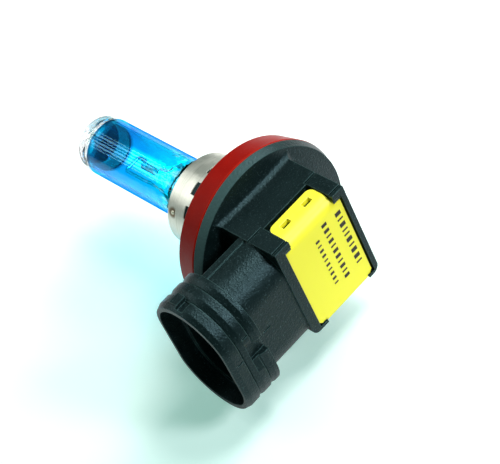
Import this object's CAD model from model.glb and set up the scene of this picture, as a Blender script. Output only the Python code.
"""Looks of the headlight bulb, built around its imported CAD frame.

The row frame is used throughout, in metres: +Y runs along the lamp axis to the glass tip, -X out of the
connector's mouth, and the origin lies on the lamp axis in the plane of the lugs' seating side.
"""
import math

import bpy
from mathutils import Matrix, Vector


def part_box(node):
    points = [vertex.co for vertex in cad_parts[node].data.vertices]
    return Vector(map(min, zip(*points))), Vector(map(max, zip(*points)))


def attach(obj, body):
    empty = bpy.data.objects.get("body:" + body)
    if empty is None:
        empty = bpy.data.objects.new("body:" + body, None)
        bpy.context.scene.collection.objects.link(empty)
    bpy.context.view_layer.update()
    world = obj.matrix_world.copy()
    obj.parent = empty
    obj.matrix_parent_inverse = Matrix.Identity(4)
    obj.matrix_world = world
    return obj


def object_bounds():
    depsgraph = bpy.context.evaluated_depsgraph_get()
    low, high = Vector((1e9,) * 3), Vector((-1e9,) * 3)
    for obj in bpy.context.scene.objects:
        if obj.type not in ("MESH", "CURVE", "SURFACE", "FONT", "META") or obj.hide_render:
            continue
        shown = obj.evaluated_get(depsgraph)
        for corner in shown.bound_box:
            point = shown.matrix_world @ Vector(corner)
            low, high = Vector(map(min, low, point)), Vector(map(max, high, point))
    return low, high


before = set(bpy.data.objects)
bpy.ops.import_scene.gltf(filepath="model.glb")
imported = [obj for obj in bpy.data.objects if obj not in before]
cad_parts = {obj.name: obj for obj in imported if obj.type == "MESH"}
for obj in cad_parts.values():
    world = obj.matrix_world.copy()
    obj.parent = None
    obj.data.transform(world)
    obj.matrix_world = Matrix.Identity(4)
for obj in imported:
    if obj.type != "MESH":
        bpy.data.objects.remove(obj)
cad_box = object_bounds()

MM = 0.001
BODY = "root"

# Places taken from the frame
floor_z = cad_box[0][2]
cup_low, cup_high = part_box("bulb_cup")
cup_r = (cup_high.x - cup_low.x) / 2

# Places on the bulb that the finishes follow
WELD_ANGLES = (28, 148, 268)
WELD_Y = 8.5 * MM
COAT_END = 37.0 * MM
COVER_BACK_Y = -22.7 * MM
# The tube's outer wall is beyond this radius. Its inner wall and the dome's middle are within it.
OUTER_WALL_R = 5.3 * MM
# The flange's edge is beyond the first radius, and in front of this y. Past the second is the connector.
FLANGE_EDGE_R = 17.0 * MM
PAST_FLANGE_R = 19.0 * MM
FLANGE_EDGE_Y = -9.3 * MM


# ---- Shader helpers ----


def rgb(red, green, blue):
    return (red, green, blue, 1.0)


class Shader:
    """A node material, with short calls for adding and joining its nodes."""

    def __init__(self, name):
        self.material = bpy.data.materials.new(name)
        self.material.use_nodes = True
        self.tree = self.material.node_tree
        self.tree.nodes.clear()
        self.output = self.tree.nodes.new("ShaderNodeOutputMaterial")

    def fill(self, socket, value):
        """Joins another node's socket to this one, or sets this one's number or colour."""
        if isinstance(value, bpy.types.NodeSocket):
            self.tree.links.new(value, socket)
        else:
            socket.default_value = value

    def node(self, kind, **values):
        """Adds a node. A key names a socket, with _ for a space, or is i and the socket's index.

        A key that starts with _ sets a property of the node instead.
        """
        made = self.tree.nodes.new(kind)
        for key, value in values.items():
            if key.startswith("_"):
                setattr(made, key[1:], value)
            elif key[0] == "i" and key[1:].isdigit():
                self.fill(made.inputs[int(key[1:])], value)
            else:
                self.fill(made.inputs[key.replace("_", " ")], value)
        return made

    # Places, in metres

    def place(self):
        """Object-space position."""
        return self.node("ShaderNodeTexCoord").outputs["Object"]

    def axes(self):
        """Object-space x, y and z."""
        split = self.node("ShaderNodeSeparateXYZ", Vector=self.place())
        return tuple(split.outputs[name] for name in "XYZ")

    def scaled(self, factors):
        return self.node("ShaderNodeMapping", Vector=self.place(), Scale=factors).outputs["Vector"]

    def from_axis(self, x, z):
        """Distance from the lamp axis."""
        return self.maths("SQRT", self.maths("ADD", self.times(x, x), self.times(z, z)))

    # Numbers and patterns

    def maths(self, kind, first, second=0.0):
        made = self.node("ShaderNodeMath", _operation=kind, i0=first, i1=second)
        return made.outputs["Value"]

    def between(self, kind, first, second):
        """A number from two vectors, such as their distance."""
        made = self.node("ShaderNodeVectorMath", _operation=kind, i0=first, i1=second)
        return made.outputs["Value"]

    def times(self, first, *others):
        """Product of all the values."""
        for other in others:
            first = self.maths("MULTIPLY", first, other)
        return first

    def spread(self, value, low, high, to_low=0.0, to_high=1.0):
        """Maps low..high to to_low..to_high, and clamps."""
        made = self.node(
            "ShaderNodeMapRange", Value=value, From_Min=low, From_Max=high, To_Min=to_low, To_Max=to_high
        )
        return made.outputs["Result"]

    def noise(self, scale, detail=2.0, roughness=0.5, vector=None):
        vector = vector or self.place()
        made = self.node("ShaderNodeTexNoise", Vector=vector, Scale=scale, Detail=detail, Roughness=roughness)
        return made.outputs["Fac"]

    # Colours and normals

    def mixed(self, share, first, second):
        """Colour mix, from first at share 0 to second at share 1."""
        made = self.node("ShaderNodeMix", _data_type="RGBA", i0=share, i6=first, i7=second)
        return made.outputs[2]

    def rounded(self, radius):
        """Surface normal with edges softened over a radius."""
        return self.node("ShaderNodeBevel", _samples=6, Radius=radius).outputs["Normal"]

    def edges(self, radius, share):
        """Up to share on sharp edges, and 0 on flat surface."""
        soft = self.rounded(radius)
        sharp = self.node("ShaderNodeNewGeometry").outputs["Normal"]
        return self.spread(self.between("DOT_PRODUCT", soft, sharp), 0.995, 0.85, 0, share)

    def bump(self, height, distance, strength=1.0, normal=None):
        made = self.node("ShaderNodeBump", Height=height, Distance=distance, Strength=strength)
        if normal:
            self.fill(made.inputs["Normal"], normal)
        return made.outputs["Normal"]

    # Surfaces

    def principled(self, **values):
        return self.node("ShaderNodeBsdfPrincipled", **values).outputs["BSDF"]

    def clear(self, colour):
        """Plain see-through surface of a colour, without reflection."""
        return self.node("ShaderNodeBsdfTransparent", Color=colour).outputs["BSDF"]

    def layered(self, share, first, second):
        """Surface mix, from first at share 0 to second at share 1."""
        return self.node("ShaderNodeMixShader", Fac=share, i1=first, i2=second).outputs["Shader"]

    def finish(self, surface):
        self.fill(self.output.inputs["Surface"], surface)
        return self.material


# ---- Materials ----


def flange_rim(s):
    """Up to 0.6 on the flange's edge, where the moulding is rubbed paler, most on the connector's side."""
    x, y, z = s.axes()
    r = s.from_axis(x, z)
    on_edge = s.spread(r, FLANGE_EDGE_R - 0.25 * MM, FLANGE_EDGE_R)
    not_past = s.spread(r, PAST_FLANGE_R + 0.2 * MM, PAST_FLANGE_R)
    in_front = s.spread(y, FLANGE_EDGE_Y - 0.3 * MM, FLANGE_EDGE_Y)
    connector_side = s.spread(x, 8 * MM, -4 * MM, 0.15, 1.0)
    return s.times(on_edge, not_past, in_front, connector_side, 0.6)


def black_plastic():
    """Glass-filled black moulding: teal-black with a fine grain, pale flecks and lighter edges."""
    s = Shader("black_plastic")
    cloud = s.noise(240, 3.0, 0.6)
    flecks = s.spread(s.noise(3900, 1.0), 0.64, 0.72, 0, 0.5)
    tone = s.mixed(cloud, rgb(0.001, 0.004, 0.004), rgb(0.003, 0.009, 0.009))
    tone = s.mixed(flecks, tone, rgb(0.06, 0.11, 0.115))
    tone = s.mixed(s.edges(0.22 * MM, 0.5), tone, rgb(0.06, 0.14, 0.13))
    tone = s.mixed(flange_rim(s), tone, rgb(0.055, 0.115, 0.11))
    grain = s.noise(2700, 2.0, 0.6)
    body = s.principled(
        Base_Color=tone,
        Roughness=s.spread(cloud, 0.3, 0.7, 0.33, 0.41),
        Specular_IOR_Level=0.30,
        Specular_Tint=rgb(0.50, 0.92, 1.0),
        Normal=s.bump(grain, 0.12 * MM, 0.8, s.rounded(0.18 * MM)),
    )
    return s.finish(body)


def red_silicone():
    """Moulded silicone: deep red with a faint bloom of dust, a soft sheen and fine flow marks."""
    s = Shader("red_silicone")
    cloud = s.noise(420, 3.0, 0.6)
    dust = s.spread(s.noise(2600, 2.0), 0.64, 0.72, 0, 0.12)
    tone = s.mixed(cloud, rgb(0.21, 0.003, 0.002), rgb(0.30, 0.006, 0.003))
    tone = s.mixed(dust, tone, rgb(0.55, 0.12, 0.08))
    tone = s.mixed(s.edges(0.3 * MM, 0.5), tone, rgb(0.85, 0.09, 0.04))
    flow = s.noise(3600, 2.0)
    body = s.principled(
        Base_Color=tone,
        Roughness=s.spread(cloud, 0.3, 0.7, 0.34, 0.46),
        IOR=1.3,
        Specular_IOR_Level=0.3,
        Specular_Tint=rgb(1.0, 0.22, 0.12),
        Subsurface_Weight=0.12,
        Subsurface_Radius=(0.8 * MM, 0.15 * MM, 0.1 * MM),
        Normal=s.bump(flow, 0.03 * MM, 0.4, s.rounded(0.25 * MM)),
    )
    return s.finish(body)


def yellow_plastic():
    """Bright yellow moulding with a very fine matte grain and slightly paler, worn edges."""
    s = Shader("yellow_plastic")
    cloud = s.noise(160, 2.0)
    tone = s.mixed(cloud, rgb(0.95, 0.90, 0.03), rgb(0.98, 0.95, 0.045))
    tone = s.mixed(s.edges(0.2 * MM, 0.5), tone, rgb(1.0, 0.97, 0.25))
    grain = s.noise(5200, 2.0)
    body = s.principled(
        Base_Color=tone,
        Roughness=s.spread(cloud, 0.3, 0.7, 0.42, 0.52),
        Subsurface_Weight=0.15,
        Subsurface_Radius=(0.6 * MM, 0.6 * MM, 0.1 * MM),
        Normal=s.bump(grain, 0.02 * MM, 0.35, s.rounded(0.2 * MM)),
    )
    return s.finish(body)


def polar(r, y, degrees):
    """A point at radius r from the lamp axis, with its angle in the XZ plane."""
    return (r * math.cos(math.radians(degrees)), y, r * math.sin(math.radians(degrees)))


def weld_heat(s):
    """Up to 0.85 close to each spot weld on the cup."""
    heat = 0.0
    for angle in WELD_ANGLES:
        centre = polar(cup_r, WELD_Y, angle)
        apart = s.between("DISTANCE", s.place(), centre)
        heat = s.maths("MAXIMUM", s.spread(apart, 1.25 * MM, 0.75 * MM, 0, 0.85), heat)
    return heat


def satin_steel():
    """Drawn steel with fine rings brushed round the lamp axis, and a brown heat halo at each weld."""
    s = Shader("satin_steel")
    rings = s.noise(1.0, 3.0, 0.7, s.scaled((150, 9000, 150)))
    cloud = s.noise(380, 3.0)
    tone = s.mixed(cloud, rgb(0.74, 0.75, 0.66), rgb(0.88, 0.88, 0.80))
    tone = s.mixed(s.spread(rings, 0.50, 0.72, 0, 0.6), tone, rgb(0.42, 0.43, 0.33))
    tone = s.mixed(weld_heat(s), tone, rgb(0.20, 0.12, 0.05))
    body = s.principled(
        Base_Color=tone,
        Metallic=1.0,
        Roughness=s.spread(cloud, 0.3, 0.7, 0.36, 0.46),
        Normal=s.bump(rings, 0.02 * MM, 0.6, s.rounded(0.12 * MM)),
    )
    return s.finish(body)


def wire_metal(name, tone_low, tone_high, roughness):
    """Drawn wire or strip: fine lengthwise streaks and a mottled tone."""
    s = Shader(name)
    streaks = s.noise(1.0, 2.0, 0.6, s.scaled((9000, 400, 9000)))
    body = s.principled(
        Base_Color=s.mixed(s.noise(900, 2.0), tone_low, tone_high),
        Metallic=1.0,
        Roughness=roughness,
        Normal=s.bump(streaks, 0.008 * MM, 0.5),
    )
    return s.finish(body)


def dome_shade(s, x, y, z, outside):
    """The dome's inner wall as seen slantwise through the coat: rays leaving there are mostly turned back."""
    view = s.node("ShaderNodeSeparateXYZ", Vector=s.node("ShaderNodeNewGeometry").outputs["Incoming"])
    slant = s.spread(view.outputs["Y"], -0.45, -0.58)
    opposite = s.maths("ADD", s.times(x, view.outputs["X"]), s.times(z, view.outputs["Z"]))
    far = s.spread(opposite, -0.3 * MM, -1.0 * MM)
    above_coat = s.spread(y, COAT_END - 1.1 * MM, COAT_END - 0.8 * MM)
    inside = s.maths("SUBTRACT", 1.0, outside)
    return s.times(slant, far, above_coat, inside, 0.97)


def coat_blue(s, y, coated_to):
    """Blue of the coat: deeper towards the tip, swirled near the seal and dark along its end."""
    mottle = s.spread(s.noise(160, 2.0), 0.3, 0.7, -4 * MM, 4 * MM)
    thinner = s.spread(s.maths("ADD", y, mottle), 36 * MM, 17 * MM)
    swirl = s.spread(s.noise(1.0, 3.0, 0.6, s.scaled((520, 260, 520))), 0.46, 0.60)
    near_seal = s.spread(y, 21 * MM, 16 * MM, 0.0, 0.8)
    dark_end = s.spread(coated_to, COAT_END - 1.3 * MM, COAT_END - 0.5 * MM, 0, 0.95)
    blue = s.mixed(thinner, rgb(0.0, 0.22, 0.86), rgb(0.0, 0.60, 1.0))
    blue = s.mixed(s.times(swirl, near_seal), blue, rgb(0.35, 0.95, 1.0))
    return s.mixed(dark_end, blue, rgb(0.0, 0.01, 0.06))


def coated_glass():
    """Quartz with a blue coat on its outside up to the dome, and pressing marks near the seal.

    Shadow rays pass tinted, for a blue cast below it. Edge-on the coat shows plain blue, and the dome's
    shoulder is partly plain see-through, so that reflections don't hide them.
    """
    s = Shader("coated_glass")
    x, y, z = s.axes()
    outside = s.spread(s.from_axis(x, z), OUTER_WALL_R - 0.15 * MM, OUTER_WALL_R)
    wobble = s.spread(s.noise(700, 2.0), 0, 1, -0.12 * MM, 0.12 * MM)
    coated_to = s.maths("ADD", y, wobble)
    covered = s.spread(coated_to, COAT_END + 0.08 * MM, COAT_END - 0.08 * MM)
    coat = s.times(covered, outside)
    tint = s.mixed(coat, rgb(1, 1, 1), coat_blue(s, y, coated_to))
    tint = s.mixed(dome_shade(s, x, y, z, outside), tint, rgb(0.0, 0.0, 0.03))
    pressing = s.bump(s.noise(330, 2.0), s.spread(y, 21 * MM, 15 * MM, 0.0, 0.3 * MM))
    glass = s.principled(
        Base_Color=tint,
        Roughness=0.02,
        IOR=1.46,
        Transmission_Weight=1.0,
        Specular_IOR_Level=0.5,
        Specular_Tint=rgb(0.40, 0.92, 1.0),
        Normal=pressing,
    )
    bare = s.times(outside, s.spread(y, COAT_END, COAT_END + 0.3 * MM, 0.0, 0.75))
    surface = s.layered(bare, glass, s.clear(rgb(0.97, 0.98, 0.98)))
    edge_on = s.spread(s.node("ShaderNodeLayerWeight", Blend=0.5).outputs["Facing"], 0.60, 0.80)
    surface = s.layered(s.times(coat, edge_on), surface, s.clear(rgb(0.0, 0.48, 0.98)))
    cast = s.clear(s.mixed(coat, rgb(0.97, 0.97, 0.97), rgb(0.45, 0.93, 1.0)))
    for_shadow = s.node("ShaderNodeLightPath").outputs["Is Shadow Ray"]
    return s.finish(s.layered(for_shadow, surface, cast))


def focused_strip(s, x, y):
    """1 on the strip of paper behind the tube, from the camera's side, where the tube focuses light."""
    aside = s.maths("ABSOLUTE", s.maths("SUBTRACT", x, 8.6 * MM))
    across = s.spread(aside, 4.0 * MM, 2.0 * MM)
    starts = s.spread(y, 22 * MM, 27 * MM)
    ends = s.spread(y, 62 * MM, 50 * MM)
    return s.times(across, starts, ends)


def floor_paper():
    """White paper, with a faint mint cast that grows towards the near left.

    Reflections and bounced light see it dark behind the base, like the end of a paper sheet. Through the
    glass, the strip that the tube lights is seen.
    """
    s = Shader("floor_paper")
    x, y, _ = s.axes()
    seen = s.node("ShaderNodeLightPath").outputs["Is Camera Ray"]
    unseen = s.maths("SUBTRACT", 1.0, seen)
    near_left = s.spread(s.maths("ADD", s.times(x, -0.75), s.times(y, -0.65)), -0.03, 0.08)
    tone = s.mixed(near_left, rgb(0.98, 0.99, 0.99), rgb(0.66, 0.89, 0.85))
    behind_base = s.times(s.spread(y, -0.03, -0.09, 0, 0.9), unseen)
    body = s.principled(
        Base_Color=s.mixed(behind_base, tone, rgb(0.04, 0.05, 0.05)),
        Roughness=0.75,
        Normal=s.bump(s.noise(1500, 3.0), 0.02 * MM, 0.2),
        Emission_Color=rgb(0.35, 1.0, 0.80),
        Emission_Strength=s.maths("ADD", s.times(seen, 0.26), s.times(focused_strip(s, x, y), unseen, 2.0)),
    )
    return s.finish(body)


def print_ink():
    """Matte black ink with a slightly uneven density."""
    s = Shader("print_ink")
    tone = s.mixed(s.noise(3000, 2.0), rgb(0.012, 0.012, 0.012), rgb(0.04, 0.04, 0.035))
    return s.finish(s.principled(Base_Color=tone, Roughness=0.7))


def weld_metal():
    """Bright, once-molten steel."""
    s = Shader("weld_metal")
    tone = s.mixed(s.noise(2400, 2.0), rgb(0.85, 0.82, 0.62), rgb(0.95, 0.93, 0.78))
    return s.finish(s.principled(Base_Color=tone, Metallic=1.0, Roughness=0.4))


steel = satin_steel()
molybdenum = wire_metal("molybdenum_wire", rgb(0.60, 0.60, 0.62), rgb(0.74, 0.74, 0.77), 0.3)
tungsten = wire_metal("tungsten_wire", rgb(0.48, 0.48, 0.50), rgb(0.60, 0.60, 0.62), 0.38)
tin = wire_metal("tin_plating", rgb(0.66, 0.65, 0.60), rgb(0.80, 0.79, 0.74), 0.27)
black = black_plastic()
red = red_silicone()
yellow = yellow_plastic()
glass = coated_glass()
ink = print_ink()
weld = weld_metal()

finishes = {
    "glass_envelope": glass,
    "filament": tungsten,
    "short_inner_lead": molybdenum,
    "long_inner_lead": molybdenum,
    "right_seal_foil": molybdenum,
    "left_seal_foil": molybdenum,
    "right_outer_lead": molybdenum,
    "left_outer_lead": molybdenum,
    "pinch_holder": steel,
    "bulb_cup": steel,
    "base_collar": steel,
    "gasket": red,
    "housing": black,
    "rear_cover": yellow,
    "upper_terminal": tin,
    "lower_terminal": tin,
}
for name, material in finishes.items():
    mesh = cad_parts[name].data
    mesh.materials.clear()
    mesh.materials.append(material)


# ---- Surface details ----


def add_piece(name, corners, faces, material):
    mesh = bpy.data.meshes.new(name)
    mesh.from_pydata(corners, [], faces)
    mesh.materials.append(material)
    piece = bpy.data.objects.new(name, mesh)
    bpy.context.scene.collection.objects.link(piece)
    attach(piece, BODY)
    return piece


# Faces of a box whose corners count up along z, then y, then x
BOX_FACES = ((0, 1, 3, 2), (4, 6, 7, 5), (0, 4, 5, 1), (2, 3, 7, 6), (0, 2, 6, 4), (1, 5, 7, 3))

# Each mark stands this far to both sides of the cover's back plane
MARK_HEIGHT = 0.04 * MM
# Rows of plain marks: middle x, row width, first z, and the lengths of its marks, in mm
MARK_ROWS = (
    (5.8, 1.3, 8.4, (0.9, 0.35, 0.9, 0.35, 0.35, 0.9, 0.35, 0.9, 0.9, 0.35)),
    (2.4, 1.2, 8.8, (0.7, 0.7, 0.35, 0.7, 0.35, 0.7, 0.7, 0.35, 0.7, 0.35, 0.7)),
    (-0.1, 0.9, 6.8, (0.5, 0.3, 0.5, 0.5, 0.3, 0.5, 0.3, 0.5, 0.5, 0.3)),
)
MARK_GAP = 0.8


def cover_marks():
    """Rows of dashes and dots printed on the cover's back plane. They carry no letters or digits."""
    corners, faces = [], []
    for x, width, start, lengths in MARK_ROWS:
        z = start
        for length in lengths:
            first = len(corners)
            for px in (x - width / 2, x + width / 2):
                for py in (COVER_BACK_Y - MARK_HEIGHT, COVER_BACK_Y + MARK_HEIGHT):
                    for pz in (z - length, z):
                        corners.append((px * MM, py, pz * MM))
            faces.extend(tuple(first + k for k in face) for face in BOX_FACES)
            z -= length + MARK_GAP
    add_piece("cover_marks", corners, faces, ink)


BEAD_SIDES = 16
BEAD_R = 0.44 * MM
BEAD_PROUD = 0.14 * MM
# Rings of a bead from its foot up: share of the bead's radius, and height over the cup
BEAD_RINGS = ((1.0, -0.05 * MM), (0.75, 0.6 * BEAD_PROUD), (0.35, 0.95 * BEAD_PROUD))


def bead_mesh():
    """Corners and faces of a bead on the +X side of the cup, centred on y = 0."""
    corners = []
    for share, rise in BEAD_RINGS:
        for side in range(BEAD_SIDES):
            turn = 2 * math.pi * side / BEAD_SIDES
            y = BEAD_R * share * math.cos(turn)
            z = BEAD_R * share * math.sin(turn)
            corners.append(Vector((cup_r + rise, y, z)))
    top = len(corners)
    corners.append(Vector((cup_r + BEAD_PROUD, 0, 0)))
    faces = []
    for first in range(0, top - BEAD_SIDES, BEAD_SIDES):
        above = first + BEAD_SIDES
        for side in range(BEAD_SIDES):
            after = (side + 1) % BEAD_SIDES
            faces.append((first + side, first + after, above + after, above + side))
    last = top - BEAD_SIDES
    for side in range(BEAD_SIDES):
        faces.append((last + side, last + (side + 1) % BEAD_SIDES, top))
    faces.append(tuple(reversed(range(BEAD_SIDES))))
    return corners, faces


def weld_beads():
    """A small bright bead at the middle of each spot weld on the bulb cup."""
    corners, faces = bead_mesh()
    shift = Matrix.Translation((0, WELD_Y, 0))
    for count, angle in enumerate(WELD_ANGLES, 1):
        place = shift @ Matrix.Rotation(-math.radians(angle), 4, "Y")
        bead = add_piece(f"weld_bead_{count}", [place @ c for c in corners], faces, weld)
        for face in bead.data.polygons:
            face.use_smooth = True


cover_marks()
weld_beads()


# ---- Stage: floor, lights and camera ----

FLOOR_HALF = 1.2


def make_floor():
    mesh = bpy.data.meshes.new("floor")
    sides = ((-1, -1), (1, -1), (1, 1), (-1, 1))
    corners = [(x * FLOOR_HALF, y * FLOOR_HALF, floor_z) for x, y in sides]
    mesh.from_pydata(corners, [], [(0, 1, 2, 3)])
    mesh.materials.append(floor_paper())
    floor = bpy.data.objects.new("floor", mesh)
    bpy.context.scene.collection.objects.link(floor)


LIGHT_DISTANCE = 0.45
WHITE = (1.0, 0.98, 0.98)
ROSE_WHITE = (1.0, 0.95, 1.0)
WARM_WHITE = (1.0, 1.0, 0.98)
# A row of tube lights gives the glass its streaks. Their widths differ, and so do the streaks.
TUBE_WIDTHS = (0.018, 0.036, 0.018, 0.036, 0.036, 0.018)
TUBE_LENGTH = 0.30
TUBE_START = 84
TUBE_STEP = 12
TUBE_LEAN = 40
TUBE_POWER_PER_WIDTH = 4.0


def softbox(name, around, lean, size, power, tint):
    """A light aimed at the origin: around the lamp axis from +X, leaning towards the tip, in degrees."""
    around, lean = math.radians(around), math.radians(lean)
    away = Vector((math.cos(lean) * math.cos(around), math.sin(lean), math.cos(lean) * math.sin(around)))
    across = Vector((-math.sin(around), 0, math.cos(around)))
    data = bpy.data.lights.new(name, "AREA")
    data.shape = "RECTANGLE"
    data.size, data.size_y = size
    data.energy = power
    data.color = tint
    light = bpy.data.objects.new(name, data)
    turn = Matrix((across, away.cross(across), away)).transposed().to_4x4()
    light.matrix_world = Matrix.Translation(away * LIGHT_DISTANCE) @ turn
    bpy.context.scene.collection.objects.link(light)


def make_world():
    world = bpy.data.worlds.new("studio")
    world.use_nodes = True
    background = world.node_tree.nodes["Background"]
    background.inputs["Color"].default_value = rgb(0.62, 1.0, 0.90)
    background.inputs["Strength"].default_value = 0.11
    bpy.context.scene.world = world


def make_lights():
    softbox("side", 64, -14, (0.14, 0.16), 1.15, WHITE)
    softbox("back", 62, -51, (0.09, 0.10), 1.2, ROSE_WHITE)
    softbox("right", 40, 2, (0.24, 0.24), 1.0, WHITE)
    for count, width in enumerate(TUBE_WIDTHS):
        around = TUBE_START + TUBE_STEP * count
        power = TUBE_POWER_PER_WIDTH * width
        softbox(f"tube_{count + 1}", around, TUBE_LEAN, (width, TUBE_LENGTH), power, WARM_WHITE)


CAMERA_AZIMUTH = -25.7
CAMERA_ELEVATION = 44.92
CAMERA_ROLL = -27.15
CAMERA_DISTANCE = 380 * MM
CAMERA_AIM = (-0.65 * MM, -2.0 * MM, -2.16 * MM)
SENSOR_WIDTH = 36.0
LENS = 152.3


def make_camera():
    """Camera behind the base, above and to the connector's side, turned about its own line of sight."""
    azimuth, elevation, roll = (math.radians(v) for v in (CAMERA_AZIMUTH, CAMERA_ELEVATION, CAMERA_ROLL))
    level_share = math.cos(elevation)
    back = Vector((math.sin(azimuth) * level_share, -math.cos(azimuth) * level_share, math.sin(elevation)))
    level = (-back).cross(Vector((0, 0, 1))).normalized()
    upright = level.cross(-back)
    right = level * math.cos(roll) + upright * math.sin(roll)
    up = upright * math.cos(roll) - level * math.sin(roll)
    data = bpy.data.cameras.new("camera")
    data.sensor_fit = "HORIZONTAL"
    data.sensor_width = SENSOR_WIDTH
    data.lens = LENS
    data.clip_start = 0.02
    camera = bpy.data.objects.new("camera", data)
    turn = Matrix((right, up, back)).transposed().to_4x4()
    camera.matrix_world = Matrix.Translation(Vector(CAMERA_AIM) + back * CAMERA_DISTANCE) @ turn
    bpy.context.scene.collection.objects.link(camera)
    bpy.context.scene.camera = camera


make_floor()
make_world()
make_lights()
make_camera()
bpy.context.scene.view_settings.view_transform = "Standard"
